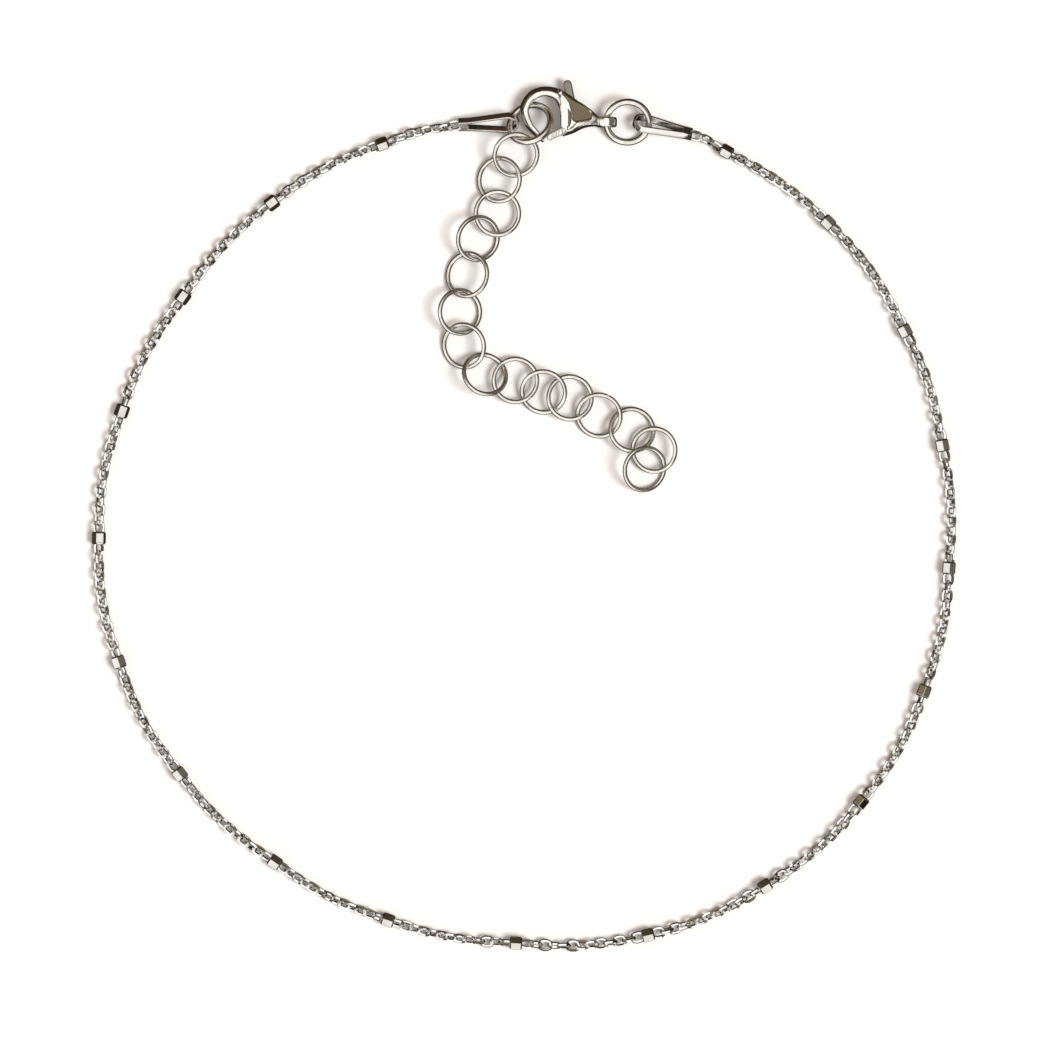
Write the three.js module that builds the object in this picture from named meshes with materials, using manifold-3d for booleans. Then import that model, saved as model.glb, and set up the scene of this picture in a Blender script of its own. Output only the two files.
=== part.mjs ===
// Chain anklet lying flat and fastened: fine cable chain with hexagonal beads,
// folded end tabs, a lobster clasp on a jump ring and an extension chain of round rings.
// Millimetres, +Z up, origin on the surface under the middle of the loop.
import * as THREE from 'three';
import { mergeVertices } from 'three/addons/utils/BufferGeometryUtils.js';
import Module from 'manifold-3d';

// Middle of the lying loop as the tables below give it, brought to the origin
const loopMiddle = { x: -0.115, y: -0.011 };

// Chain and beads
const chainWidth = 0.95;
const chainSides = 8;
const axisHeight = 0.68;
const chainDroop = 0.16;
const stretchSteps = 4;
const beadLength = 1.2;
const beadCornerRadius = 0.68;
const beadBoreRadius = 0.3;
const beadChamfer = 0.14;
const endGap = 0.1;

// Rings
const ringDiameter = 4.5;
const ringWire = 0.42;
const jumpRingDiameter = 4.63;
const jumpRingWire = 0.61;
const wireSides = 6;
const ringSides = 16;

// Folded end tabs
const tabLength = 5.7;
const tabWidth = 2.1;
const tabCrimpWidth = 1.1;
const tabCrimpLength = 0.9;
const tabStripWidth = 0.72;
const tabThickness = 0.24;
const tabRoll = THREE.MathUtils.degToRad(48);

// Clasp: heights above the surface, then sizes about the middle of its round head
const claspHead = { x: 1.89, y: 37.99 };
const bodyBottom = 0;
const bodyTop = 2.5;
const bodyDome = { x: 3, y: 0.1, radiusX: 2.9, radiusY: 2.75, radiusZ: 1.75 };
const hookBottom = 0.8;
const hookTop = 1.84;
const hookBevel = 0.14;
const panelDepth = 0.25;
const eyeCentre = { x: 5.78, y: -0.9, z: 1.06 };
const eyeOuterRadius = 1.02;
const eyeHoleRadius = 0.62;
const eyeWidth = 0.95;
const eyeBevel = 0.12;

// Lever: pivot, elbow, gate end and thumb knob about the middle of the clasp's head
const pivot = { x: 2.65, y: 0.09 };
const elbow = { x: 1.7, y: -1.68 };
const gateEnd = { x: 0.5, y: -2.27 };
const knobEnd = { x: 2.13, y: 2.66 };
const leverBottom = 0.86;
const leverTop = 1.4;
const hubRadius = 0.58;
const gateRadius = 0.32;
const knobRadius = 0.4;
const pinRadius = 0.28;
const pinBottom = 0.4;
const pinTop = 2;
const pinClearance = 0.08;
const leverClearance = 0.1;
const leverOpening = 22;
const sweepSteps = 3;

// Where each bead sits along the loop, clockwise from the tab by the clasp's eye.
// roll turns the hexagon about the chain: 30 has an edge uppermost, 0 a flat.
const beadStations = [
  { x: 19.04, y: 34.35, roll: 30 },
  { x: 28.63, y: 27.64, roll: 30 },
  { x: 35.91, y: 17.39, roll: 30 },
  { x: 39.45, y: 6.57, roll: 30 },
  { x: 40.07, y: -5.01, roll: 30 },
  { x: 37.71, y: -16.63, roll: 30 },
  { x: 31.75, y: -27.12, roll: 30 },
  { x: 22.68, y: -35.06, roll: 30 },
  { x: 11.62, y: -39.69, roll: 30 },
  { x: -0.85, y: -40.45, roll: 30 },
  { x: -12.95, y: -38.27, roll: 30 },
  { x: -23.63, y: -32.79, roll: 30 },
  { x: -32.6, y: -24.48, roll: 30 },
  { x: -38.37, y: -13.89, roll: 30 },
  { x: -40.26, y: -2.17, roll: 15 },
  { x: -38.08, y: 9.83, roll: 12 },
  { x: -32.32, y: 20.6, roll: 0 },
  { x: -23.91, y: 29.48, roll: 0 },
  { x: -13.51, y: 35.06, roll: 30 },
];

// Each tab runs from its fold, inside a jump ring, down to the chain.
// heading is its direction in degrees from +X, and lean the side it is rolled to.
const tabs = {
  right: { x: 10.21, y: 37.2, z: 1.1, heading: -12.5, lean: 1 },
  left: { x: -0.57, y: 37.07, z: 1.1, heading: 182, lean: -1 },
};

// Jump rings: middle, direction of the higher side in degrees from +X, and slope.
const jumpRings = [
  { name: 'jump_ring_clasp', x: 9.69, y: 37.09, z: 1.06, highSide: 90, tilt: 22 },
  { name: 'jump_ring_end', x: 0.47, y: 36.95, z: 1.4, highSide: -56.3, tilt: 33 },
];

// Extension rings from the end jump ring to the free end. Walking down the chain,
// roll lifts a ring's right-hand side and pitch its leading side, in degrees.
const extensionRings = [
  { x: -0.85, y: 33.98, z: 1.46, roll: 18, pitch: -14 },
  { x: -2.41, y: 31.66, z: 0.97, roll: -20, pitch: -4 },
  { x: -2.6, y: 28.49, z: 0.92, roll: 4, pitch: 0 },
  { x: -4.44, y: 26.1, z: 1.16, roll: 27, pitch: 0 },
  { x: -5.44, y: 22.68, z: 1.08, roll: -25, pitch: 0 },
  { x: -6.14, y: 19.18, z: 1.06, roll: 23, pitch: 0 },
  { x: -5.76, y: 15.97, z: 1.06, roll: -24, pitch: 0 },
  { x: -3.78, y: 13.28, z: 1.18, roll: 28, pitch: 0 },
  { x: -0.9, y: 12.71, z: 0.92, roll: 2, pitch: 0 },
  { x: 1.75, y: 11.62, z: 0.92, roll: -20, pitch: 0 },
  { x: 4.25, y: 11.06, z: 0.9, roll: 7, pitch: 0 },
  { x: 6.99, y: 9.4, z: 0.86, roll: -18, pitch: 0 },
  { x: 10.11, y: 8.03, z: 0.8, roll: 15, pitch: 0 },
  { x: 12.19, y: 6.14, z: 0.96, roll: -12, pitch: 0 },
  { x: 11.29, y: 4.35, z: 1.12, roll: 26, pitch: 0 },
];

const wasm = await Module();
wasm.setup();

const anklet = new THREE.Group();
anklet.position.set(-loopMiddle.x, -loopMiddle.y, 0);

function silver() {
  return new THREE.MeshStandardMaterial({ color: 0xdedcd6, metalness: 1, roughness: 0.12 });
}

function addPiece(name, geometry, parent = anklet) {
  const mesh = new THREE.Mesh(geometry, silver());
  mesh.name = name;
  parent.add(mesh);
  return mesh;
}

// Boolean helpers
function toSolid(geometry, matrix = new THREE.Matrix4()) {
  const bare = geometry.clone().applyMatrix4(matrix);
  bare.deleteAttribute('normal');
  bare.deleteAttribute('uv');
  const merged = mergeVertices(bare, 1e-4);
  const vertProperties = new Float32Array(merged.attributes.position.array);
  const triVerts = new Uint32Array(merged.index.array);
  return new wasm.Manifold(new wasm.Mesh({ numProp: 3, vertProperties, triVerts }));
}

function toGeometry(solid) {
  const mesh = solid.getMesh();
  const geometry = new THREE.BufferGeometry();
  geometry.setAttribute('position', new THREE.BufferAttribute(new Float32Array(mesh.vertProperties), 3));
  geometry.setIndex(new THREE.BufferAttribute(new Uint32Array(mesh.triVerts), 1));
  return geometry;
}

function shifted(x, y, z) {
  return new THREE.Matrix4().makeTranslation(x, y, z);
}

// A flat-ended plate between two heights, its outline kept and its edges rounded by bevel.
function plate(shape, bottom, top, bevel, curveSegments) {
  const geometry = new THREE.ExtrudeGeometry(shape, {
    depth: top - bottom - 2 * bevel,
    bevelEnabled: bevel > 0,
    bevelSize: bevel,
    bevelOffset: -bevel,
    bevelThickness: bevel,
    bevelSegments: 1,
    curveSegments,
  });
  return toSolid(geometry, shifted(0, 0, bottom + bevel));
}

// A bar with round ends from one point to another.
function bar(from, to, radius, bottom, top) {
  const along = Math.atan2(to.y - from.y, to.x - from.x);
  const quarter = Math.PI / 2;
  const shape = new THREE.Shape();
  shape.absarc(to.x, to.y, radius, along - quarter, along + quarter, false);
  shape.absarc(from.x, from.y, radius, along + quarter, along + 3 * quarter, false);
  shape.closePath();
  return plate(shape, bottom, top, 0, 4);
}

function roundPin(centre, radius, bottom, top) {
  const geometry = new THREE.CylinderGeometry(radius, radius, top - bottom, 16);
  geometry.rotateX(Math.PI / 2);
  return toSolid(geometry, shifted(centre.x, centre.y, (bottom + top) / 2));
}

// The loop's centre line through both crimps and every bead
function crimpPoint(tab) {
  const heading = THREE.MathUtils.degToRad(tab.heading);
  const reach = Math.sqrt(tabLength ** 2 - (tab.z - axisHeight) ** 2);
  return new THREE.Vector3(tab.x + reach * Math.cos(heading), tab.y + reach * Math.sin(heading), axisHeight);
}

const loopPoints = [
  crimpPoint(tabs.right),
  ...beadStations.map((bead) => new THREE.Vector3(bead.x, bead.y, axisHeight)),
  crimpPoint(tabs.left),
];
const loop = new THREE.CatmullRomCurve3(loopPoints, false, 'centripetal');
const spans = loopPoints.length - 1;

// Share of a span that a length takes up next to its first or last station
function shareOf(length, span, side) {
  const probe = 0.02;
  const station = loop.getPoint((span + side) / spans);
  const nearby = loop.getPoint((span + side + (side === 0 ? probe : -probe)) / spans);
  return (probe * length) / station.distanceTo(nearby);
}

// One stretch of chain between two stations, sinking a little between the beads that carry it
function stretchPath(span) {
  const beadReach = beadLength / 2 + endGap;
  const from = shareOf(span === 0 ? endGap : beadReach, span, 0);
  const to = 1 - shareOf(span === spans - 1 ? endGap : beadReach, span, 1);
  const points = [];
  for (let step = 0; step <= stretchSteps; step += 1) {
    const along = step / stretchSteps;
    const point = loop.getPoint((span + from + (to - from) * along) / spans);
    point.z -= chainDroop * Math.sin(Math.PI * along);
    points.push(point);
  }
  return new THREE.CatmullRomCurve3(points);
}

function roundSection(diameter, sides) {
  const section = new THREE.Shape();
  for (let side = 0; side < sides; side += 1) {
    const angle = (2 * Math.PI * (side + 0.5)) / sides;
    const x = (diameter / 2) * Math.cos(angle);
    const y = (diameter / 2) * Math.sin(angle);
    if (side === 0) {
      section.moveTo(x, y);
    } else {
      section.lineTo(x, y);
    }
  }
  section.closePath();
  return section;
}

function twoDigits(number) {
  return String(number).padStart(2, '0');
}

function addChain() {
  for (let span = 0; span < spans; span += 1) {
    const geometry = new THREE.ExtrudeGeometry(roundSection(chainWidth, chainSides), {
      extrudePath: stretchPath(span),
      steps: stretchSteps,
      bevelEnabled: false,
    });
    addPiece(`chain_${twoDigits(span + 1)}`, geometry);
  }
}

// Drilled hexagonal bead, turned with six sides, its end corners chamfered
function beadGeometry() {
  const half = beadLength / 2;
  const rim = beadCornerRadius - beadChamfer;
  const profile = [
    [beadBoreRadius, -half],
    [rim, -half],
    [beadCornerRadius, -half + beadChamfer],
    [beadCornerRadius, half - beadChamfer],
    [rim, half],
    [beadBoreRadius, half],
    [beadBoreRadius, -half],
  ];
  return new THREE.LatheGeometry(profile.map(([radius, along]) => new THREE.Vector2(radius, along)), 6);
}

function addBeads() {
  const cornerToFlat = 30;
  beadStations.forEach((bead, index) => {
    const mesh = addPiece(`bead_${twoDigits(index + 1)}`, beadGeometry());
    const along = loop.getTangent((index + 1) / spans);
    along.z = 0;
    along.normalize();
    const side = new THREE.Vector3(along.y, -along.x, 0);
    const up = new THREE.Vector3(0, 0, 1);
    mesh.quaternion.setFromRotationMatrix(new THREE.Matrix4().makeBasis(side, along, up));
    mesh.rotateY(THREE.MathUtils.degToRad(bead.roll + cornerToFlat));
    mesh.position.set(bead.x, bead.y, axisHeight);
  });
}

// Turn that lifts the side of a flat ring facing the given direction
function lift(direction, degrees) {
  const axis = direction.clone().cross(new THREE.Vector3(0, 0, 1));
  return new THREE.Quaternion().setFromAxisAngle(axis, THREE.MathUtils.degToRad(degrees));
}

function addRing(name, place, turn, diameter, wire) {
  const geometry = new THREE.TorusGeometry((diameter - wire) / 2, wire / 2, wireSides, ringSides);
  const mesh = addPiece(name, geometry);
  mesh.quaternion.copy(turn);
  mesh.position.set(place.x, place.y, place.z);
}

function addJumpRings() {
  for (const ring of jumpRings) {
    const angle = THREE.MathUtils.degToRad(ring.highSide);
    const highSide = new THREE.Vector3(Math.cos(angle), Math.sin(angle), 0);
    addRing(ring.name, ring, lift(highSide, ring.tilt), jumpRingDiameter, jumpRingWire);
  }
}

function addExtension() {
  const centres = [jumpRings[1], ...extensionRings];
  extensionRings.forEach((ring, index) => {
    const before = centres[index];
    const after = centres[Math.min(index + 2, centres.length - 1)];
    const travel = new THREE.Vector3(after.x - before.x, after.y - before.y, 0).normalize();
    const rightHand = new THREE.Vector3(travel.y, -travel.x, 0);
    const turn = lift(travel, ring.pitch).multiply(lift(rightHand, ring.roll));
    addRing(`extension_ring_${twoDigits(index + 1)}`, ring, turn, ringDiameter, ringWire);
  });
}

// End tab: one strip folded round a ring, both legs closing on a crimp at the chain
function tabGeometry() {
  const quarter = Math.PI / 2;
  const outer = tabWidth / 2;
  const inner = outer - tabThickness;
  const crimp = tabCrimpWidth / 2;
  const crimpStart = tabLength - tabCrimpLength;
  const shape = new THREE.Shape();
  shape.absarc(outer, 0, outer, quarter, 3 * quarter, false);
  shape.lineTo(crimpStart, -crimp);
  shape.lineTo(tabLength, -crimp);
  shape.lineTo(tabLength, crimp);
  shape.lineTo(crimpStart, crimp);
  shape.closePath();
  const slot = new THREE.Path();
  slot.absarc(outer, 0, inner, quarter, 3 * quarter, false);
  slot.lineTo(crimpStart, -crimp + tabThickness);
  slot.lineTo(crimpStart, crimp - tabThickness);
  slot.closePath();
  shape.holes.push(slot);
  const geometry = new THREE.ExtrudeGeometry(shape, {
    depth: tabStripWidth,
    bevelEnabled: false,
    curveSegments: 8,
  });
  return geometry.translate(0, 0, -tabStripWidth / 2);
}

function addTabs() {
  for (const [side, tab] of Object.entries(tabs)) {
    const mesh = addPiece(`end_tab_${side}`, tabGeometry());
    const fold = new THREE.Vector3(tab.x, tab.y, tab.z);
    const along = crimpPoint(tab).sub(fold).normalize();
    const across = new THREE.Vector3(0, 0, 1).cross(along).normalize();
    const up = along.clone().cross(across);
    mesh.quaternion.setFromRotationMatrix(new THREE.Matrix4().makeBasis(along, across, up));
    const north = Math.sign(across.y);
    mesh.rotateX(-tab.lean * north * tabRoll);
    mesh.position.copy(fold);
  }
}

// Lobster clasp. Outlines run about the middle of its round head.
function hookShape() {
  const shape = new THREE.Shape();
  shape.moveTo(2.2, 1.7);
  shape.splineThru([
    new THREE.Vector2(1.42, 2.17),
    new THREE.Vector2(0.09, 2.46),
    new THREE.Vector2(-1.42, 2.02),
    new THREE.Vector2(-2.38, 0.2),
    new THREE.Vector2(-1.68, -1.56),
    new THREE.Vector2(-0.22, -2.84),
  ]);
  shape.lineTo(-0.04, -2.62);
  shape.splineThru([
    new THREE.Vector2(-0.6, -1.78),
    new THREE.Vector2(-1.45, -0.66),
    new THREE.Vector2(-1.5, 0.36),
    new THREE.Vector2(-0.98, 1.16),
    new THREE.Vector2(0.09, 1.55),
    new THREE.Vector2(1.06, 1.14),
    new THREE.Vector2(1.6, 0.3),
  ]);
  shape.lineTo(2.3, 0.3);
  shape.closePath();
  return shape;
}

function bodyShape() {
  const shape = new THREE.Shape();
  shape.moveTo(1.15, 2.26);
  shape.splineThru([
    new THREE.Vector2(1.1, 1.12),
    new THREE.Vector2(1.56, 0.1),
    new THREE.Vector2(1.6, -1.2),
    new THREE.Vector2(1.74, -2.24),
  ]);
  shape.splineThru([
    new THREE.Vector2(2.65, -1.94),
    new THREE.Vector2(3.78, -1.42),
    new THREE.Vector2(5.1, -1.22),
  ]);
  shape.lineTo(5.1, -0.45);
  shape.splineThru([
    new THREE.Vector2(4.3, 0.3),
    new THREE.Vector2(3.12, 1.13),
    new THREE.Vector2(2, 1.9),
  ]);
  shape.closePath();
  return shape;
}

// The body's outline, rounded over towards its edges and left flat above and below
function bodySolid() {
  const dome = new THREE.SphereGeometry(1, 32, 16);
  dome.rotateX(Math.PI / 2);
  dome.scale(bodyDome.radiusX, bodyDome.radiusY, bodyDome.radiusZ);
  const middle = shifted(bodyDome.x, bodyDome.y, (bodyBottom + bodyTop) / 2);
  return plate(bodyShape(), bodyBottom, bodyTop, 0, 4).intersect(toSolid(dome, middle));
}

// The sunk three-cornered panel on the clasp's upper face
function panelShape() {
  const shape = new THREE.Shape();
  shape.moveTo(2.3, 0.95);
  shape.quadraticCurveTo(2.9, 0.72, 4.2, -0.5);
  shape.quadraticCurveTo(4.3, -0.8, 4, -0.84);
  shape.lineTo(2.8, -1.06);
  shape.quadraticCurveTo(2.4, -1.1, 2.36, -0.7);
  shape.closePath();
  return shape;
}

function eyeSolid() {
  const shape = new THREE.Shape();
  shape.absarc(0, 0, eyeOuterRadius, 0, 2 * Math.PI, false);
  const hole = new THREE.Path();
  hole.absarc(0, 0, eyeHoleRadius, 0, 2 * Math.PI, true);
  shape.holes.push(hole);
  const geometry = new THREE.ExtrudeGeometry(shape, {
    depth: eyeWidth - 2 * eyeBevel,
    bevelSize: eyeBevel,
    bevelOffset: -eyeBevel,
    bevelThickness: eyeBevel,
    bevelSegments: 1,
    curveSegments: 16,
  });
  geometry.translate(0, 0, -eyeWidth / 2 + eyeBevel);
  geometry.rotateX(Math.PI / 2);
  return toSolid(geometry, shifted(eyeCentre.x, eyeCentre.y, eyeCentre.z));
}

// The lever's outside, or with grow the room that it needs, turned open about the pivot
function leverSolid(grow, opening) {
  const bottom = leverBottom - grow;
  const top = leverTop + grow;
  const arms = [
    bar(pivot, pivot, hubRadius + grow, bottom, top),
    bar(pivot, elbow, gateRadius + grow, bottom, top),
    bar(elbow, gateEnd, gateRadius + grow, bottom, top),
    bar(pivot, knobEnd, knobRadius + grow, bottom, top),
  ];
  const whole = arms.reduce((joined, arm) => joined.add(arm));
  return whole
    .translate([-pivot.x, -pivot.y, 0])
    .rotate([0, 0, -opening])
    .translate([pivot.x, pivot.y, 0]);
}

function leverRoom() {
  let room = leverSolid(leverClearance, 0);
  for (let step = 1; step <= sweepSteps; step += 1) {
    room = room.add(leverSolid(leverClearance, (leverOpening * step) / sweepSteps));
  }
  return room;
}

function addClasp() {
  const clasp = new THREE.Group();
  clasp.position.set(claspHead.x, claspHead.y, 0);
  anklet.add(clasp);
  const body = bodySolid()
    .add(plate(hookShape(), hookBottom, hookTop, hookBevel, 6))
    .subtract(plate(panelShape(), bodyTop - panelDepth, bodyTop + panelDepth, 0, 4))
    .add(eyeSolid())
    .subtract(leverRoom())
    .add(roundPin(pivot, pinRadius, pinBottom, pinTop));
  addPiece('clasp_body', toGeometry(body), clasp);
  const lever = leverSolid(0, 0).subtract(roundPin(pivot, pinRadius + pinClearance, 0, bodyTop));
  addPiece('clasp_lever', toGeometry(lever), clasp);
}

addChain();
addBeads();
addTabs();
addJumpRings();
addExtension();
addClasp();

export default anklet;
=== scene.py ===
import math
import bmesh
import bpy
from mathutils import Matrix, Quaternion, Vector


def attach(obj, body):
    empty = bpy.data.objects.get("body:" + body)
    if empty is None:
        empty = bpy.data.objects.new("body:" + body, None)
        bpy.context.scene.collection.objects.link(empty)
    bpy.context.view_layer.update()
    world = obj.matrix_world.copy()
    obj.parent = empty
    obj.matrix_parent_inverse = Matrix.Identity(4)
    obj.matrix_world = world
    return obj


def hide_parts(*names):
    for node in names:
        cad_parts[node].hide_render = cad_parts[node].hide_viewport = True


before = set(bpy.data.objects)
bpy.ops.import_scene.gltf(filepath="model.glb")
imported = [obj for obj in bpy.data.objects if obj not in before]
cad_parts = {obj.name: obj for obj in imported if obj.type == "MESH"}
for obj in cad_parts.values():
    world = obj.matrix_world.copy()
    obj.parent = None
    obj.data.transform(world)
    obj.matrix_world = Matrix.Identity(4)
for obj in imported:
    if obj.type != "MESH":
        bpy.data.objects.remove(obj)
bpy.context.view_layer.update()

mm = 0.001
loopMiddle = Vector((-0.115, -0.011, 0))  # the source moves its tables by this much, in mm
up = Vector((0, 0, 1))
scene = bpy.context.scene
print("frame loaded:", len(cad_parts), "nodes")


class Signal:
    # a socket, or with none the way into a tree, so that node maths reads as an expression
    def __init__(self, tree, socket=None):
        self.tree, self.socket = tree, socket

    # any node: its type, its settings, then socket values or links
    def make(self, kind, settings=None, sockets=None, out=0):
        node = self.tree.nodes.new(kind)
        for key, value in (settings or {}).items():
            setattr(node, key, value)
        for key, value in (sockets or {}).items():
            if isinstance(value, Signal):
                self.tree.links.new(value.socket, node.inputs[key])
            else:
                node.inputs[key].default_value = value
        return Signal(self.tree, node.outputs[out] if len(node.outputs) else None)

    def maths(self, operation, first, second=0.0):
        return self.make("ShaderNodeMath", {"operation": operation}, {0: first, 1: second})

    def __add__(self, other):
        return self.maths("ADD", self, other)

    def __sub__(self, other):
        return self.maths("SUBTRACT", self, other)

    def __rsub__(self, other):
        return self.maths("SUBTRACT", other, self)

    def __mul__(self, other):
        return self.maths("MULTIPLY", self, other)

    def __truediv__(self, other):
        return self.maths("DIVIDE", self, other)

    __radd__ = __add__
    __rmul__ = __mul__

    # rises smoothly from 0 to 1 between two values
    def rise(self, low, high):
        span = {"Value": self, "From Min": low, "From Max": high}
        return self.make("ShaderNodeMapRange", {"interpolation_type": "SMOOTHSTEP"}, span)

    # one colour over another where this signal is 1
    def paint(self, under, over):
        return self.make("ShaderNodeMix", {"data_type": "RGBA"}, {0: self, 6: under, 7: over}, 2)


# Finishes. Lengths in a pattern are millimetres, so scales are per millimetre.
silverFinishes = {
    "chainSilver": {"bright": (0.90, 0.90, 0.895), "shade": (0.70, 0.69, 0.675), "rough": 0.05, "span": 0.05,
                    "patch": 1.3, "grain": 9.0, "lines": (26, 26, 5), "relief": 0.05},
    "beadSilver": {"bright": (0.72, 0.705, 0.68), "shade": (0.58, 0.56, 0.52), "rough": 0.05, "span": 0.05,
                   "patch": 1.1, "grain": 12.0, "lines": (30, 5, 30), "relief": 0.04},
    "ringSilver": {"bright": (0.83, 0.80, 0.755), "shade": (0.63, 0.595, 0.55), "rough": 0.15, "span": 0.08,
                   "patch": 0.8, "grain": 7.0, "lines": (22, 6, 22), "relief": 0.08},
    "tabSilver": {"bright": (0.82, 0.80, 0.77), "shade": (0.68, 0.64, 0.595), "rough": 0.13, "span": 0.10,
                  "patch": 0.9, "grain": 8.0, "lines": (4, 24, 24), "relief": 0.10},
    "claspSilver": {"bright": (0.83, 0.81, 0.775), "shade": (0.70, 0.67, 0.62), "rough": 0.09, "span": 0.08,
                    "patch": 0.7, "grain": 6.0, "lines": (5, 18, 18), "relief": 0.08},
    # the lever's tones are painted shade: the same silver, darkened where the thumb knob lies below the
    # clasp's edge
    "leverSilverPaintedShade": {"bright": (0.265, 0.26, 0.225), "shade": (0.18, 0.175, 0.15), "rough": 0.32, "span": 0.10,
                    "patch": 0.8, "grain": 7.0, "lines": (18, 5, 18), "relief": 0.08,
                    "tip": (0.84, 0.82, 0.79), "tipSpan": (36.9, 37.5), "tipPolish": 0.22},
}
silverPattern = {"cloudSpan": (0.36, 0.68), "hairSpan": (0.58, 0.74), "cloudShare": 0.7,
                 "grainShare": 0.3, "hairRough": 0.05, "grainRelief": 0.6, "hairRelief": 0.4,
                 "bumpDepth": 0.00002}


# Polished silver: cloudy tint, patches of duller polish, hair lines from the buffing wheel
def silverMaterial(name):
    look, pattern = silverFinishes[name], silverPattern
    material = bpy.data.materials.new(name)
    material.use_nodes = True
    material.node_tree.nodes.clear()
    root = Signal(material.node_tree)
    place = root.make("ShaderNodeTexCoord", out="Object")
    place = root.make("ShaderNodeVectorMath", {"operation": "SCALE"}, {0: place, "Scale": 1 / mm})
    cloud = root.make("ShaderNodeTexNoise", {}, {"Vector": place, "Scale": look["patch"], "Detail": 3.0})
    cloud = cloud.rise(*pattern["cloudSpan"])
    grain = root.make("ShaderNodeTexNoise", {}, {"Vector": place, "Scale": look["grain"], "Detail": 2.0})
    drawn = root.make("ShaderNodeVectorMath", {"operation": "MULTIPLY"}, {0: place, 1: look["lines"]})
    lines = root.make("ShaderNodeTexNoise", {}, {"Vector": drawn, "Scale": 1.0, "Detail": 1.0})
    hairs = lines.rise(*pattern["hairSpan"])
    bright, shade = (*look["bright"], 1), (*look["shade"], 1)
    colour = (cloud * pattern["cloudShare"] + grain * pattern["grainShare"]).paint(bright, shade)
    rough = look["rough"] + look["span"] * cloud + pattern["hairRough"] * hairs
    if "tip" in look:  # the lever is painted dark as shade; only its gate's end keeps the silver's bright tone and a finer polish
        north = root.make("ShaderNodeSeparateXYZ", {}, {"Vector": place}, "Y")
        tip = 1 - north.rise(*look["tipSpan"])
        colour = tip.paint(colour, (*look["tip"], 1))
        rough = rough - look["tipPolish"] * tip
    height = pattern["grainRelief"] * grain + pattern["hairRelief"] * hairs
    bump = root.make("ShaderNodeBump", {}, {"Strength": look["relief"], "Distance": pattern["bumpDepth"],
                                            "Height": height})
    shader = root.make("ShaderNodeBsdfPrincipled", {}, {"Base Color": colour, "Metallic": 1.0,
                                                        "Roughness": rough, "Normal": bump})
    root.make("ShaderNodeOutputMaterial", {}, {"Surface": shader})
    return material


materials = {name: silverMaterial(name) for name in silverFinishes}
print("finishes made:", ", ".join(materials))


# Small mesh helpers
def standIn(data):
    holder = bpy.data.objects.new("standIn", data)
    scene.collection.objects.link(holder)
    return holder


def bakeMesh(holder):
    graph = bpy.context.evaluated_depsgraph_get()
    mesh = bpy.data.meshes.new_from_object(holder.evaluated_get(graph))
    bpy.data.objects.remove(holder, do_unlink=True)
    return mesh


def cleaned(mesh, matrix=None, reach=1e-7):
    work = bmesh.new()
    work.from_mesh(mesh)
    if matrix is not None:
        work.transform(matrix)
    bmesh.ops.remove_doubles(work, verts=work.verts, dist=reach)
    bmesh.ops.dissolve_degenerate(work, dist=reach, edges=work.edges)
    bmesh.ops.recalc_face_normals(work, faces=work.faces)
    work.to_mesh(mesh)
    work.free()
    return mesh


def meshFrom(work, name):
    mesh = bpy.data.meshes.new(name)
    work.to_mesh(mesh)
    work.free()
    return mesh


def joined(meshes):
    work = bmesh.new()
    for mesh in meshes:
        work.from_mesh(mesh)
    return meshFrom(work, "joined")


# A skin over closed rows of points in mm; its ends are capped unless the rows close in a ring
def lofted(rows, ringed):
    work = bmesh.new()
    loops = [[work.verts.new(Vector(point) * mm) for point in row] for row in rows]
    count = len(loops[0])
    for loop, after in zip(loops, loops[1:] + (loops[:1] if ringed else [])):
        for k in range(count):
            work.faces.new((loop[k], after[k], after[(k + 1) % count], loop[(k + 1) % count]))
    if not ringed:
        work.faces.new(loops[0])
        work.faces.new(loops[-1])
    return work


def combined(mesh, tool, operation):
    holder, cutter = standIn(mesh), standIn(tool)
    modifier = holder.modifiers.new("cut", "BOOLEAN")
    modifier.operation, modifier.object, modifier.solver = operation, cutter, "EXACT"
    result = bakeMesh(holder)
    bpy.data.objects.remove(cutter, do_unlink=True)
    if not result.polygons:
        raise RuntimeError("a cut left nothing of the piece")
    return result


# Casts overlapping solids into one skin with softened edges
def cast(meshes, voxel, rounds):
    holder = standIn(joined(meshes))
    remesh = holder.modifiers.new("skin", "REMESH")
    remesh.mode, remesh.voxel_size, remesh.use_smooth_shade = "VOXEL", voxel * mm, True
    soften = holder.modifiers.new("soften", "SMOOTH")
    soften.factor, soften.iterations = 0.5, rounds
    return bakeMesh(holder)


# A flat shape between two heights with rounded edges, from closed outlines in mm
def roundedPlate(outlines, bottom, top, edge, steps=3):
    curve = bpy.data.curves.new("outline", "CURVE")
    curve.dimensions, curve.fill_mode = "2D", "BOTH"
    curve.extrude = ((top - bottom) / 2 - edge) * mm
    curve.bevel_depth, curve.bevel_resolution, curve.offset = edge * mm, steps, -edge * mm
    for outline in outlines:
        spline = curve.splines.new("POLY")
        spline.points.add(len(outline) - 1)
        for point, (x, y) in zip(spline.points, outline):
            point.co = (x * mm, y * mm, 0, 1)
        spline.use_cyclic_u = True
    return cleaned(bakeMesh(standIn(curve)), Matrix.Translation((0, 0, (bottom + top) / 2 * mm)))


# Uniform Catmull-Rom through points in a plane, as the source's outlines are drawn
def through(points, steps=8):
    line = []
    for index in range(len(points) - 1):
        a, b, c, d = (Vector(points[min(max(index + k, 0), len(points) - 1)]) for k in (-1, 0, 1, 2))
        for step in range(steps):
            t = step / steps
            line.append(0.5 * (2 * b + (c - a) * t + (2 * a - 5 * b + 4 * c - d) * t ** 2
                               + (3 * b - a - 3 * c + d) * t ** 3))
    return [tuple(point) for point in line] + [tuple(points[-1])]


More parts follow.
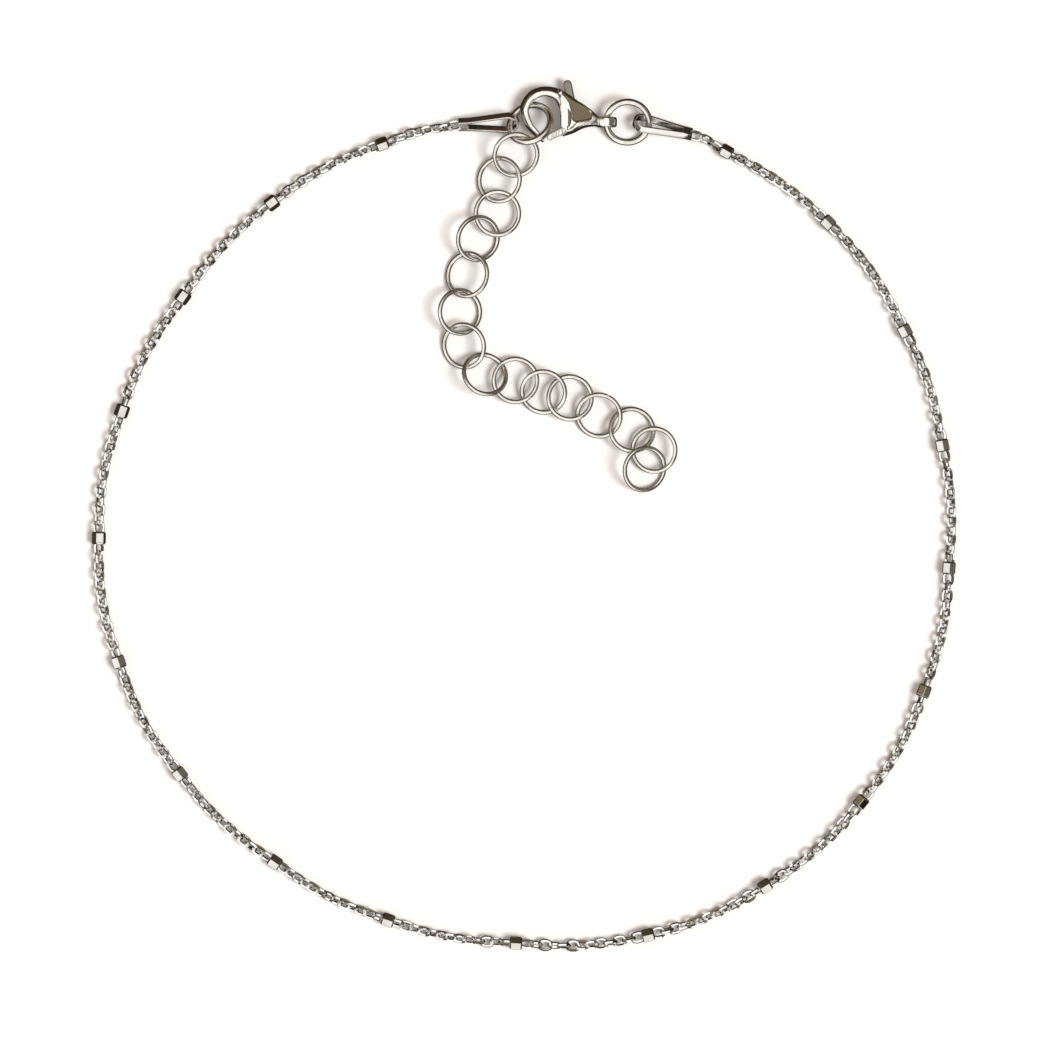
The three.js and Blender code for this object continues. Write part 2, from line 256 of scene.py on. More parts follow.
def finished(name, mesh, finish, body, nodes):
    mesh.materials.clear()
    mesh.materials.append(materials[finish])
    piece = bpy.data.objects.new(name, mesh)
    scene.collection.objects.link(piece)
    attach(piece, body)
    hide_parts(*nodes)
    print("piece", name, len(mesh.polygons), "faces")
    return piece


# A node tree with named inputs; sizes maps each input's name to its socket type and value
def newTree(name, sizes):
    tree = bpy.data.node_groups.new(name, "GeometryNodeTree")
    tree.interface.new_socket(name="Geometry", in_out="INPUT", socket_type="NodeSocketGeometry")
    tree.interface.new_socket(name="Geometry", in_out="OUTPUT", socket_type="NodeSocketGeometry")
    keys = {}
    for label, (kind, value) in sizes.items():
        socket = tree.interface.new_socket(name=label, in_out="INPUT", socket_type="NodeSocket" + kind)
        keys[label] = (socket.identifier, value)
    entry = tree.nodes.new("NodeGroupInput")
    return tree, keys, {out.name: Signal(tree, out) for out in entry.outputs if out.name}


def closeTree(tree, copies, finish, smooth=True):
    root = Signal(tree)
    whole = root.make("GeometryNodeRealizeInstances", {}, {"Geometry": copies})
    whole = root.make("GeometryNodeSetShadeSmooth", {}, {"Geometry": whole, "Shade Smooth": smooth})
    whole = root.make("GeometryNodeSetMaterial", {}, {"Geometry": whole, "Material": materials[finish]})
    root.make("NodeGroupOutput", {}, {0: whole})


def runTree(holder, tree, keys):
    modifier = holder.modifiers.new(tree.name, "NODES")
    modifier.node_group = tree
    for identifier, value in keys.values():
        modifier[identifier] = value
    return bakeMesh(holder)


# Camera straight above, as the photograph was taken
cameraSet = {"frameWidth": 99.2, "lens": 200, "sensor": 36, "middle": (0.115, -0.934), "sharpHeight": 0.7,
             "clip": (0.01, 20)}
camera = bpy.data.objects.new("camera", bpy.data.cameras.new("camera"))
camera.data.lens, camera.data.sensor_width = cameraSet["lens"], cameraSet["sensor"]
distance = cameraSet["frameWidth"] * cameraSet["lens"] / camera.data.sensor_width
camera.location = Vector((*cameraSet["middle"], distance + cameraSet["sharpHeight"])) * mm
camera.data.clip_start, camera.data.clip_end = cameraSet["clip"]
scene.collection.objects.link(camera)
scene.camera = camera

# Loop route: fold of each tab, then where each bead sits, clockwise from the clasp's eye
chainSet = {"axisHeight": 0.68, "droop": 0.16, "droopShape": 0.6, "bow": 0.15, "pitch": 0.8175,
            "linkLength": 1.42, "linkWidth": 1.16, "wire": 0.30, "wireSides": 5, "corner": 0.36,
            "cornerSteps": 2, "turn": 45, "twist": 35, "jitter": 9, "endReach": 0.40, "routeSteps": 40,
            "seed": 7}
beadSet = {"length": 1.2, "cornerRadius": 0.68, "bore": 0.3, "boreFrom": 0.75, "mouth": 0.44,
           "chamfer": 0.14, "edge": 0.03, "around": 24, "flatAngle": 2, "sharpAngle": 25,
           "rimRadius": 0.5}
tabSet = {"length": 5.7, "width": 2.1, "crimpWidth": 1.1, "crimpLength": 0.9, "strip": 0.72,
          "thickness": 0.24, "roll": 48, "edge": 0.06, "foldSteps": 20}
tabs = {
    "right": {"fold": (10.21, 37.2, 1.1), "heading": -12.5, "lean": 1},
    "left": {"fold": (-0.57, 37.07, 1.1), "heading": 182, "lean": -1},
}
beadStations = [  # x, y, roll about the chain (30 has an edge uppermost, 0 a flat)
    (19.04, 34.35, 30), (28.63, 27.64, 30), (35.91, 17.39, 30), (39.45, 6.57, 30), (40.07, -5.01, 30),
    (37.71, -16.63, 30), (31.75, -27.12, 30), (22.68, -35.06, 30), (11.62, -39.69, 30), (-0.85, -40.45, 30),
    (-12.95, -38.27, 30), (-23.63, -32.79, 30), (-32.6, -24.48, 30), (-38.37, -13.89, 30),
    (-40.26, -2.17, 15), (-38.08, 9.83, 12), (-32.32, 20.6, 0), (-23.91, 29.48, 0), (-13.51, 35.06, 30),
]


def crimpPoint(tab):
    x, y, z = tab["fold"]
    reach = math.sqrt(tabSet["length"] ** 2 - (z - chainSet["axisHeight"]) ** 2)
    heading = math.radians(tab["heading"])
    return Vector((x + reach * math.cos(heading), y + reach * math.sin(heading), chainSet["axisHeight"]))


stations = [crimpPoint(tabs["right"])]
stations += [Vector((x, y, chainSet["axisHeight"])) for x, y, roll in beadStations]
stations += [crimpPoint(tabs["left"])]
spans = len(stations) - 1


# Centripetal Catmull-Rom through the stations; the ends run on straight
def loopPoint(span, share):
    b, c = stations[span], stations[span + 1]
    a = stations[span - 1] if span > 0 else 2 * b - c
    d = stations[span + 2] if span + 2 <= spans else 2 * c - b
    ab, bc, cd = ((q - p).length ** 0.5 for p, q in ((a, b), (b, c), (c, d)))
    leave = ((b - a) / ab - (c - a) / (ab + bc) + (c - b) / bc) * bc
    arrive = ((c - b) / bc - (d - b) / (bc + cd) + (d - c) / cd) * bc
    return (b + leave * share + (3 * (c - b) - 2 * leave - arrive) * share ** 2
            + (2 * (b - c) + leave + arrive) * share ** 3)


def loopTangent(span, share, probe=0.001):
    ahead, behind = loopPoint(span, min(share + probe, 1)), loopPoint(span, max(share - probe, 0))
    return (ahead - behind).normalized()


# Chain: real interlocked links, a quarter turn from one to the next, along each stretch
def chainRoute():
    curve = bpy.data.curves.new("chainRoute", "CURVE")
    curve.dimensions = "3D"
    pieces = chainSet["routeSteps"]
    for span in range(spans):
        marks = [loopPoint(span, k / pieces) for k in range(pieces + 1)]
        length = sum((b - a).length for a, b in zip(marks, marks[1:]))
        inset = beadSet["length"] / 2 + chainSet["endReach"]
        first = (chainSet["endReach"] if span == 0 else inset) / length
        last = 1 - (chainSet["endReach"] if span == spans - 1 else inset) / length
        spline = curve.splines.new("POLY")
        spline.points.add(pieces)
        for k, point in enumerate(spline.points):
            share = first + (last - first) * k / pieces
            along = loopTangent(span, share)
            slack = math.sin(math.pi * k / pieces)
            place = loopPoint(span, share) - loopMiddle
            place += Vector((-along.y, along.x, 0)) * chainSet["bow"] * slack
            place.z -= chainSet["droop"] * slack ** chainSet["droopShape"]
            point.co = (*(place * mm), 1)
    return curve


def linkTree():
    tree, keys, entry = newTree("cableLinks", {
        "Link length": ("Float", chainSet["linkLength"] * mm),
        "Link width": ("Float", chainSet["linkWidth"] * mm),
        "Wire": ("Float", chainSet["wire"] * mm), "Corner": ("Float", chainSet["corner"] * mm),
        "Pitch": ("Float", chainSet["pitch"] * mm), "Turn": ("Float", math.radians(chainSet["turn"])),
        "Twist": ("Float", math.radians(chainSet["twist"])),
        "Jitter": ("Float", math.radians(chainSet["jitter"])), "Seed": ("Int", chainSet["seed"]),
    })
    root = Signal(tree)
    wire = entry["Wire"]
    outline = root.make("GeometryNodeCurvePrimitiveQuadrilateral", {},
                        {"Width": entry["Link length"] - wire, "Height": entry["Link width"] - wire})
    outline = root.make("GeometryNodeFilletCurve", {"mode": "POLY"},
                        {"Curve": outline, "Count": chainSet["cornerSteps"], "Radius": entry["Corner"],
                         "Limit Radius": True})
    section = root.make("GeometryNodeCurvePrimitiveCircle", {},
                        {"Resolution": chainSet["wireSides"], "Radius": wire * 0.5})
    link = root.make("GeometryNodeCurveToMesh", {}, {"Curve": outline, "Profile Curve": section})
    spaced = root.make("GeometryNodeResampleCurve", {"mode": "LENGTH"},
                       {"Curve": entry["Geometry"], "Length": entry["Pitch"]})
    along = root.make("GeometryNodeInputTangent")
    facing = root.make("FunctionNodeAlignRotationToVector", {"axis": "X"}, {"Vector": along})
    number = root.make("GeometryNodeInputIndex")
    quarter = root.maths("MODULO", number, 2.0) * (math.pi / 2)
    share = root.make("GeometryNodeSplineParameter", out="Factor")
    loose = root.make("FunctionNodeRandomValue", {"data_type": "FLOAT"},
                      {2: -1.0, 3: 1.0, "ID": number, "Seed": entry["Seed"]}, 1)
    roll = quarter + entry["Turn"] + entry["Twist"] * (share - 0.5) + entry["Jitter"] * loose
    roll = root.make("ShaderNodeCombineXYZ", {}, {"X": roll})
    roll = root.make("FunctionNodeEulerToRotation", {}, {"Euler": roll})
    turned = root.make("FunctionNodeRotateRotation", {"rotation_space": "LOCAL"},
                       {"Rotation": facing, "Rotate By": roll})
    copies = root.make("GeometryNodeInstanceOnPoints", {},
                       {"Points": spaced, "Instance": link, "Rotation": turned})
    closeTree(tree, copies, "chainSilver", smooth=False)
    return tree, keys


chainMesh = runTree(standIn(chainRoute()), *linkTree())
finished("cableLinks", cleaned(chainMesh), "chainSilver", "anklet",
         [f"chain_{n:02d}" for n in range(1, spans + 1)])


# Beads: drilled hexagons with chamfered ends and lightly broken edges
def beadMesh():
    half, corner, chamfer = beadSet["length"] / 2, beadSet["cornerRadius"], beadSet["chamfer"]
    around, side = beadSet["around"], math.radians(60)

    def hexReach(angle):
        return math.cos(side / 2) / math.cos(angle % side - side / 2)

    bore, mouth, deep = beadSet["bore"], beadSet["mouth"], beadSet["boreFrom"]
    rings = [(half * end, kind, reach) for end, kind, reach in (
        (-deep, "round", bore), (-1, "round", mouth), (-1, "hex", corner - chamfer),
        (chamfer / half - 1, "hex", corner), (1 - chamfer / half, "hex", corner),
        (1, "hex", corner - chamfer), (1, "round", mouth), (deep, "round", bore))]
    rows = []
    for height, kind, reach in rings:
        row = []
        for k in range(around):
            angle = 2 * math.pi * k / around
            radius = reach * (hexReach(angle) if kind == "hex" else 1)
            row.append((height, radius * math.cos(angle), radius * math.sin(angle)))
        rows.append(row)
    work = lofted(rows, ringed=True)
    flat, sharp = math.radians(beadSet["flatAngle"]), math.radians(beadSet["sharpAngle"])
    bmesh.ops.recalc_face_normals(work, faces=work.faces)
    bmesh.ops.dissolve_limit(work, angle_limit=flat, verts=work.verts, edges=work.edges)
    broken = [edge for edge in work.edges if edge.is_manifold and edge.calc_face_angle() > sharp
              and min(Vector((0, *v.co.yz)).length for v in edge.verts) > beadSet["rimRadius"] * mm]
    bmesh.ops.bevel(work, geom=broken, offset=beadSet["edge"] * mm, segments=2, profile=0.5, affect="EDGES")
    return meshFrom(work, "bead")


def placedBeads():
    single = beadMesh()
    copies = []
    for index, (x, y, roll) in enumerate(beadStations):
        along = loopTangent(index + 1, 0)
        along.z = 0
        along.normalize()
        side = Vector((-along.y, along.x, 0))
        basis = Matrix((along, side, up)).transposed().to_4x4()
        turn = Matrix.Rotation(math.radians(roll + 60), 4, "X")
        place = Matrix.Translation((stations[index + 1] - loopMiddle) * mm)
        copy = single.copy()
        copy.transform(place @ basis @ turn)
        copies.append(copy)
    return joined(copies)


finished("hexBeads", placedBeads(), "beadSilver", "anklet",
         [f"bead_{n:02d}" for n in range(1, len(beadStations) + 1)])

# Rings: a point for each middle, with the ring's turn as an attribute
ringSet = {"diameter": 4.5, "wire": 0.42, "seam": 1.1, "around": 72, "section": 14, "seed": 3}
jumpRingSet = {"diameter": 4.63, "wire": 0.61, "seam": 1.6, "around": 84, "section": 18, "seed": 5}
ringCapAngle = 50  # the cut ends of a ring meet its wire more sharply than this
jumpRings = {  # middle, direction of the higher side in degrees from +X, slope
    "jump_ring_clasp": ((9.69, 37.09, 1.06), 90, 22),
    "jump_ring_end": ((0.47, 36.95, 1.4), -56.3, 33),
}
extensionRings = [  # x, y, z, roll lifting the right-hand side, pitch lifting the leading side
    (-0.85, 33.98, 1.46, 18, -14), (-2.41, 31.66, 0.97, -20, -4), (-2.6, 28.49, 0.92, 4, 0),
    (-4.44, 26.1, 1.16, 27, 0), (-5.44, 22.68, 1.08, -25, 0), (-6.14, 19.18, 1.06, 23, 0),
    (-5.76, 15.97, 1.06, -24, 0), (-3.78, 13.28, 1.18, 28, 0), (-0.9, 12.71, 0.92, 2, 0),
    (1.75, 11.62, 0.92, -20, 0), (4.25, 11.06, 0.9, 7, 0), (6.99, 9.4, 0.86, -18, 0),
    (10.11, 8.03, 0.8, 15, 0), (12.19, 6.14, 0.96, -12, 0), (11.29, 4.35, 1.12, 26, 0),
]


def lift(direction, degrees):
    return Quaternion(direction.cross(up), math.radians(degrees))


def ringPoints(places):
    mesh = bpy.data.meshes.new("ringPoints")
    mesh.from_pydata([(Vector(middle) - loopMiddle) * mm for middle, turn in places], [], [])
    turns = mesh.attributes.new("turn", "QUATERNION", "POINT")
    for item, (middle, turn) in zip(turns.data, places):
        item.value = turn
    return mesh


def ringTree(name, sizes, finish):
    tree, keys, entry = newTree(name, {
        "Diameter": ("Float", sizes["diameter"] * mm), "Wire": ("Float", sizes["wire"] * mm),
        "Seam": ("Float", math.radians(sizes["seam"])), "Around": ("Int", sizes["around"]),
        "Section": ("Int", sizes["section"]), "Seed": ("Int", sizes["seed"]),
    })
    root = Signal(tree)
    line = root.make("GeometryNodeCurveArc", {"mode": "RADIUS"}, {
        "Resolution": entry["Around"], "Radius": (entry["Diameter"] - entry["Wire"]) * 0.5,
        "Start Angle": entry["Seam"] * 0.5, "Sweep Angle": 2 * math.pi - entry["Seam"]})
    section = root.make("GeometryNodeCurvePrimitiveCircle", {},
                        {"Resolution": entry["Section"], "Radius": entry["Wire"] * 0.5})
    ring = root.make("GeometryNodeCurveToMesh", {},
                     {"Curve": line, "Profile Curve": section, "Fill Caps": True})
    turn = root.make("GeometryNodeInputNamedAttribute", {"data_type": "QUATERNION"}, {"Name": "turn"})
    number = root.make("GeometryNodeInputIndex")
    seamAt = root.make("FunctionNodeRandomValue", {"data_type": "FLOAT"},
                       {2: 0.0, 3: 2 * math.pi, "ID": number, "Seed": entry["Seed"]}, 1)
    seamAt = root.make("ShaderNodeCombineXYZ", {}, {"Z": seamAt})
    seamAt = root.make("FunctionNodeEulerToRotation", {}, {"Euler": seamAt})
    turn = root.make("FunctionNodeRotateRotation", {"rotation_space": "LOCAL"},
                     {"Rotation": turn, "Rotate By": seamAt})
    copies = root.make("GeometryNodeInstanceOnPoints", {},
                       {"Points": entry["Geometry"], "Instance": ring, "Rotation": turn})
    closeTree(tree, copies, finish)
    return tree, keys


def extensionPlaces():
    centres = [Vector(jumpRings["jump_ring_end"][0])] + [Vector(ring[:3]) for ring in extensionRings]
    places = []
    for index, (x, y, z, roll, pitch) in enumerate(extensionRings):
        travel = centres[min(index + 2, len(centres) - 1)] - centres[index]
        travel.z = 0
        travel.normalize()
        rightHand = Vector((travel.y, -travel.x, 0))
        places.append(((x, y, z), lift(travel, pitch) @ lift(rightHand, roll)))
    return places


def flatEnds(mesh):
    mesh.set_sharp_from_angle(angle=math.radians(ringCapAngle))
    return mesh


def finishedRings(name, treeName, places, sizes, nodes):
    mesh = runTree(standIn(ringPoints(places)), *ringTree(treeName, sizes, "ringSilver"))
    finished(name, flatEnds(cleaned(mesh)), "ringSilver", "anklet", nodes)


finishedRings("extensionRings", "extensionRings", extensionPlaces(), ringSet,
              [f"extension_ring_{n:02d}" for n in range(1, len(extensionRings) + 1)])
for ringName, (middle, side, slope) in jumpRings.items():
    side = math.radians(side)
    place = (middle, lift(Vector((math.cos(side), math.sin(side), 0)), slope))
    finishedRings(ringName + "_wire", ringName, [place], jumpRingSet, [ringName])


# End tabs: one strip folded round a ring, both legs closing on a crimp at the chain
def arc(centre, radius, start, end, steps):
    angles = [math.radians(start + (end - start) * k / steps) for k in range(steps + 1)]
    return [(centre[0] + radius * math.cos(a), centre[1] + radius * math.sin(a)) for a in angles]


def tabMesh():
    outer, wall, crimp = tabSet["width"] / 2, tabSet["thickness"], tabSet["crimpWidth"] / 2
    crimpStart = tabSet["length"] - tabSet["crimpLength"]
    end, steps = tabSet["length"], tabSet["foldSteps"]
    outside = arc((outer, 0), outer, 90, 270, steps)
    outside += [(crimpStart, -crimp), (end, -crimp), (end, crimp), (crimpStart, crimp)]
    slot = arc((outer, 0), outer - wall, 90, 270, steps)
    slot += [(crimpStart, wall - crimp), (crimpStart, crimp - wall)]
    return roundedPlate([outside, slot], -tabSet["strip"] / 2, tabSet["strip"] / 2, tabSet["edge"])


for tabSide, tab in tabs.items():
    fold = Vector(tab["fold"])
    along = (crimpPoint(tab) - fold).normalized()
    across = up.cross(along).normalized()
    basis = Matrix((along, across, along.cross(across))).transposed().to_4x4()
    roll = Matrix.Rotation(math.radians(-tab["lean"] * math.copysign(tabSet["roll"], across.y)), 4, "X")
    mesh = tabMesh()
    mesh.transform(Matrix.Translation((fold - loopMiddle) * mm) @ basis @ roll)
    finished("endTab_" + tabSide, mesh, "tabSilver", "anklet", ["end_tab_" + tabSide])

# Clasp: sizes about the middle of its round head, heights above the surface
claspSet = {"head": (1.89, 37.99), "top": 2.5, "rimUnder": 0.8, "voxel": 0.045, "softenRounds": 5,
            "cutEdge": 0.02, "outlineStep": 0.1, "taperFrom": 2.6, "taperLength": 2.5, "neckTaper": 0.45,
            "neckInset": 0.55, "lowerSteep": 0.55, "panelDepth": 0.30, "panelEdge": 0.2, "panelTilt": 19,
            "panelHinge": (2.4, -0.6), "panelAxis": (-0.7, 0.7, 0), "panelClear": 1,
            "crease": (3.2, 0.65, 1.73), "creaseHeading": -37.2, "creaseTilt": 30,
            "creaseReach": (-1.95, 1.75), "creaseCut": 1.5, "eye": (5.78, -0.9, 1.06),
            "eyeRadii": (1.02, 0.62), "eyeWidth": 0.95, "eyeSteps": (64, 20), "eyeSquareness": 0.6}
leverSet = {"pivot": (2.65, 0.09), "elbow": (1.7, -1.68), "gateEnd": (0.5, -2.27),
            "knobEnd": (2.13, 2.66), "bottom": 0.86, "top": 1.4, "hub": 0.58, "gate": 0.32, "knob": 0.4,
            "pin": 0.28, "pinHeights": (0.4, 1.72), "pinSteps": 31, "pinRoom": 0.08, "room": 0.1,
            "opening": 22, "edge": 0.12, "endSteps": 12, "swingSteps": 4, "voxel": 0.035,
            "softenRounds": 4, "grooves": (0.72, 1.02, 1.32), "grooveWidth": 0.16, "grooveDepth": 0.36,
            "grooveReach": (-3, -1.3)}
rimStations = [  # outer x, y, inner x, y and height of the hook's face, from its tip round to the gate
    (-0.22, -2.84, -0.04, -2.62, 1.70), (-1.10, -2.12, -0.55, -1.85, 1.80),
    (-1.90, -1.20, -1.16, -1.10, 1.84), (-2.38, 0.20, -1.52, 0.10, 1.86), (-2.06, 1.27, -1.24, 0.88, 1.88),
    (-1.42, 2.02, -0.78, 1.32, 1.90), (-0.66, 2.36, -0.32, 1.52, 1.94), (0.09, 2.46, 0.09, 1.55, 2.00),
    (0.86, 2.37, 0.62, 1.42, 2.08), (1.66, 2.05, 1.12, 1.05, 2.20), (2.56, 1.16, 1.36, 0.50, 2.36),
    (2.84, 0.20, 1.44, -0.10, 2.46), (2.86, -0.90, 1.46, -1.00, 2.46), (2.84, -1.56, 1.54, -1.70, 2.30),
    (2.76, -1.92, 1.66, -2.24, 2.00),
]
rimSection = [  # share across from outside to inside, then drop from the face, or rise from the underside
    (0.00, "top", 0.66), (0.06, "top", 0.46), (0.18, "top", 0.29), (0.34, "top", 0.13), (0.50, "top", 0.02),
    (0.70, "top", 0.00), (0.90, "top", 0.03), (0.97, "top", 0.09), (1.00, "top", 0.22), (1.00, "under", 0.14),
    (0.95, "under", 0.03), (0.60, "under", 0.00), (0.24, "under", 0.04), (0.06, "under", 0.18),
]


# The hook's rim: one section carried round the mouth, its outer side falling away, its face flat
def rimMesh():
    outer = through([station[0:2] for station in rimStations], 6)
    inner = through([station[2:4] for station in rimStations], 6)
    face = [height for height, spare in through([(station[4], 0) for station in rimStations], 6)]
    rows = []
    for out, ins, height in zip(outer, inner, face):
        row = []
        for share, side, step in rimSection:
            x, y = (a + (b - a) * share for a, b in zip(out, ins))
            row.append((x, y, height - step if side == "top" else claspSet["rimUnder"] + step))
        rows.append(row)
    return cleaned(meshFrom(lofted(rows, ringed=False), "rim"))


def bodyOutline():
    inside = through([(1.15, 2.26), (1.1, 1.12), (1.46, 0.1), (1.5, -1.2), (1.7, -2.24)])
    lower = through([(1.7, -2.24), (2.65, -1.94), (3.78, -1.42), (5.1, -1.22)])
    spine = through([(5.1, -0.45), (4.3, 0.3), (3.12, 1.13), (2, 1.9)])
    return inside + lower[1:] + spine


def panelOutline():
    spine = through([(1.55, 2.4), (2.9, 1.75), (3.75, 1.05), (4.6, 0.1)])  # past the edge: that side is open
    rim = through([(2.58, -0.8), (2.48, -0.2), (2.32, 0.5), (1.94, 1.15), (1.5, 1.75)])
    return spine + [(4.4, -0.62), (4.15, -0.8), (2.95, -1.04), (2.72, -1.0)] + rim


bodySection = [  # how far the skin lies inside the outline, and its height, from below to above
    (0.46, 0.02), (0.22, 0.10), (0.06, 0.32), (0.00, 0.70), (0.00, 1.40), (0.05, 1.72), (0.16, 2.02),
    (0.32, 2.26), (0.50, 2.40),
]


# Points at even steps along a closed outline
def evenly(outline, step):
    points = [Vector(p) for p in outline]
    line = []
    for a, b in zip(points, points[1:] + points[:1]):
        parts = max(1, round((b - a).length / step))
        line += [a.lerp(b, k / parts) for k in range(parts)]
    return line


# The body: its outline drawn in towards the upper and lower faces, and flatter towards the eye
def bodyMesh():
    line = evenly(bodyOutline(), claspSet["outlineStep"])
    count = len(line)
    inward = []
    for k in range(count):
        along = (line[(k + 2) % count] - line[k - 2]).normalized()
        inward.append(Vector((-along.y, along.x)))
    middle = claspSet["eye"][2]
    rows = []
    for inset, height in bodySection:
        row = []
        for point, inside in zip(line, inward):
            near = (point.x - claspSet["taperFrom"]) / claspSet["taperLength"]
            near = min(max(near, 0), 1)  # 0 by the rim, 1 at the neck
            steep = 1 - claspSet["lowerSteep"] * max(inside.y, 0)  # the lower side stands up more
            x, y = point + inside * inset * (1 - claspSet["neckInset"] * near) * steep
            row.append((x, y, middle + (height - middle) * (1 - claspSet["neckTaper"] * near)))
        rows.append(row)
    return cleaned(meshFrom(lofted(rows, ringed=False), "body"))


def eyeMesh():
    outer, inner = claspSet["eyeRadii"]
    middle, deep, wide = (outer + inner) / 2, (outer - inner) / 2, claspSet["eyeWidth"] / 2
    (around, section), square = claspSet["eyeSteps"], claspSet["eyeSquareness"]
    rows = []
    for k in range(around):
        angle = 2 * math.pi * k / around
        row = []
        for s in range(section):
            turn = 2 * math.pi * s / section
            c, d = math.cos(turn), math.sin(turn)
            reach = middle + deep * math.copysign(abs(c) ** square, c)
            sideways = wide * math.copysign(abs(d) ** square, d)
            row.append((reach * math.cos(angle), sideways, reach * math.sin(angle)))
        rows.append(row)
    place = Matrix.Translation(Vector(claspSet["eye"]) * mm)
    return cleaned(meshFrom(lofted(rows, ringed=True), "eye"), place)


def stadium(start, end, radius):
    heading = math.degrees(math.atan2(end[1] - start[1], end[0] - start[0]))
    steps = leverSet["endSteps"]
    far = arc(end, radius, heading - 90, heading + 90, steps)
    return far + arc(start, radius, heading + 90, heading + 270, steps)


def barMesh(start, end, radius, grow=0.0, edge=leverSet["edge"]):
    bottom, top = leverSet["bottom"] - grow, leverSet["top"] + grow
    return roundedPlate([stadium(start, end, radius + grow)], bottom, top, edge)


def roundPin(radius, bottom, top):
    outline = arc(leverSet["pivot"], radius, 0, 360, leverSet["pinSteps"])[:-1]
    return roundedPlate([outline], bottom, top, claspSet["cutEdge"])


# The lever's four arms: ends and half width of the hub, the two parts of the gate and the knob
def leverArms():
    pivot, elbow = leverSet["pivot"], leverSet["elbow"]
    return [(pivot, pivot, leverSet["hub"]), (pivot, elbow, leverSet["gate"]),
            (elbow, leverSet["gateEnd"], leverSet["gate"]), (pivot, leverSet["knobEnd"], leverSet["knob"])]


def ontoClasp(mesh):
    mesh.transform(Matrix.Translation((Vector((*claspSet["head"], 0)) - loopMiddle) * mm))
    return mesh


# Room for an arm of the lever from shut to open, as one hull
def sweptRoom(start, end, radius):
    work = bmesh.new()
    pivot = Vector((*leverSet["pivot"], 0)) * mm
    steps = leverSet["swingSteps"]
    for step in range(steps + 1):
        swing = Matrix.Rotation(math.radians(-leverSet["opening"] * step / steps), 4, "Z")
        mesh = barMesh(start, end, radius, leverSet["room"], claspSet["cutEdge"])
        mesh.transform(Matrix.Translation(pivot) @ swing @ Matrix.Translation(-pivot))
        work.from_mesh(mesh)
    hull = bmesh.ops.convex_hull(work, input=work.verts)
    inside = [v for v in hull["geom_interior"] + hull["geom_unused"] if isinstance(v, bmesh.types.BMVert)]
    bmesh.ops.delete(work, geom=list(set(inside)), context="VERTS")
    outside = {face for face in hull["geom"] if isinstance(face, bmesh.types.BMFace)}
    bmesh.ops.delete(work, geom=[face for face in work.faces if face not in outside], context="FACES")
    return cleaned(meshFrom(work, "room"))


def claspMesh():
    top, edge = claspSet["top"], claspSet["cutEdge"]
    floor = top - claspSet["panelDepth"]
    whole = cast([bodyMesh(), rimMesh(), eyeMesh()], claspSet["voxel"], 0)
    panel = roundedPlate([panelOutline()], floor, top + claspSet["panelClear"], claspSet["panelEdge"])
    hinge = Matrix.Translation(Vector((*claspSet["panelHinge"], floor)) * mm)
    tilt = Matrix.Rotation(math.radians(claspSet["panelTilt"]), 4, Vector(claspSet["panelAxis"]))
    panel.transform(hinge @ tilt @ hinge.inverted())
    whole = combined(whole, panel, "DIFFERENCE")
    (near, far), cut = claspSet["creaseReach"], claspSet["creaseCut"]
    spine = roundedPlate([[(near, 0), (far, 0), (far, cut), (near, cut)]], 0, cut, edge, 1)
    fall = Matrix.Rotation(math.radians(-claspSet["creaseTilt"]), 4, "X")
    heading = Matrix.Rotation(math.radians(claspSet["creaseHeading"]), 4, "Z")
    spine.transform(Matrix.Translation(Vector(claspSet["crease"]) * mm) @ heading @ fall)
    whole = combined(whole, spine, "DIFFERENCE")
    for start, end, radius in leverArms():
        whole = combined(whole, sweptRoom(start, end, radius), "DIFFERENCE")
    pin = roundPin(leverSet["pin"], *leverSet["pinHeights"])
    return ontoClasp(cast([whole, pin], claspSet["voxel"], claspSet["softenRounds"]))


def leverMesh():
    whole = cast([barMesh(*arm) for arm in leverArms()], leverSet["voxel"], 0)
    hole = roundPin(leverSet["pin"] + leverSet["pinRoom"], 0, claspSet["top"])
    whole = combined(whole, hole, "DIFFERENCE")
    half, floor = leverSet["grooveWidth"] / 2, leverSet["top"] - leverSet["grooveDepth"]
    low, high = leverSet["grooveReach"]
    for x in leverSet["grooves"]:
        sides = [(x - half, low), (x + half, low), (x + half, high), (x - half, high)]
        groove = roundedPlate([sides], floor, claspSet["top"], claspSet["cutEdge"], 1)
        whole = combined(whole, groove, "DIFFERENCE")
    return ontoClasp(cast([whole], leverSet["voxel"], leverSet["softenRounds"]))


finished("claspCasting", claspMesh(), "claspSilver", "anklet", ["clasp_body"])
finished("claspThumbLever", leverMesh(), "leverSilverPaintedShade", "lever", ["clasp_lever"])
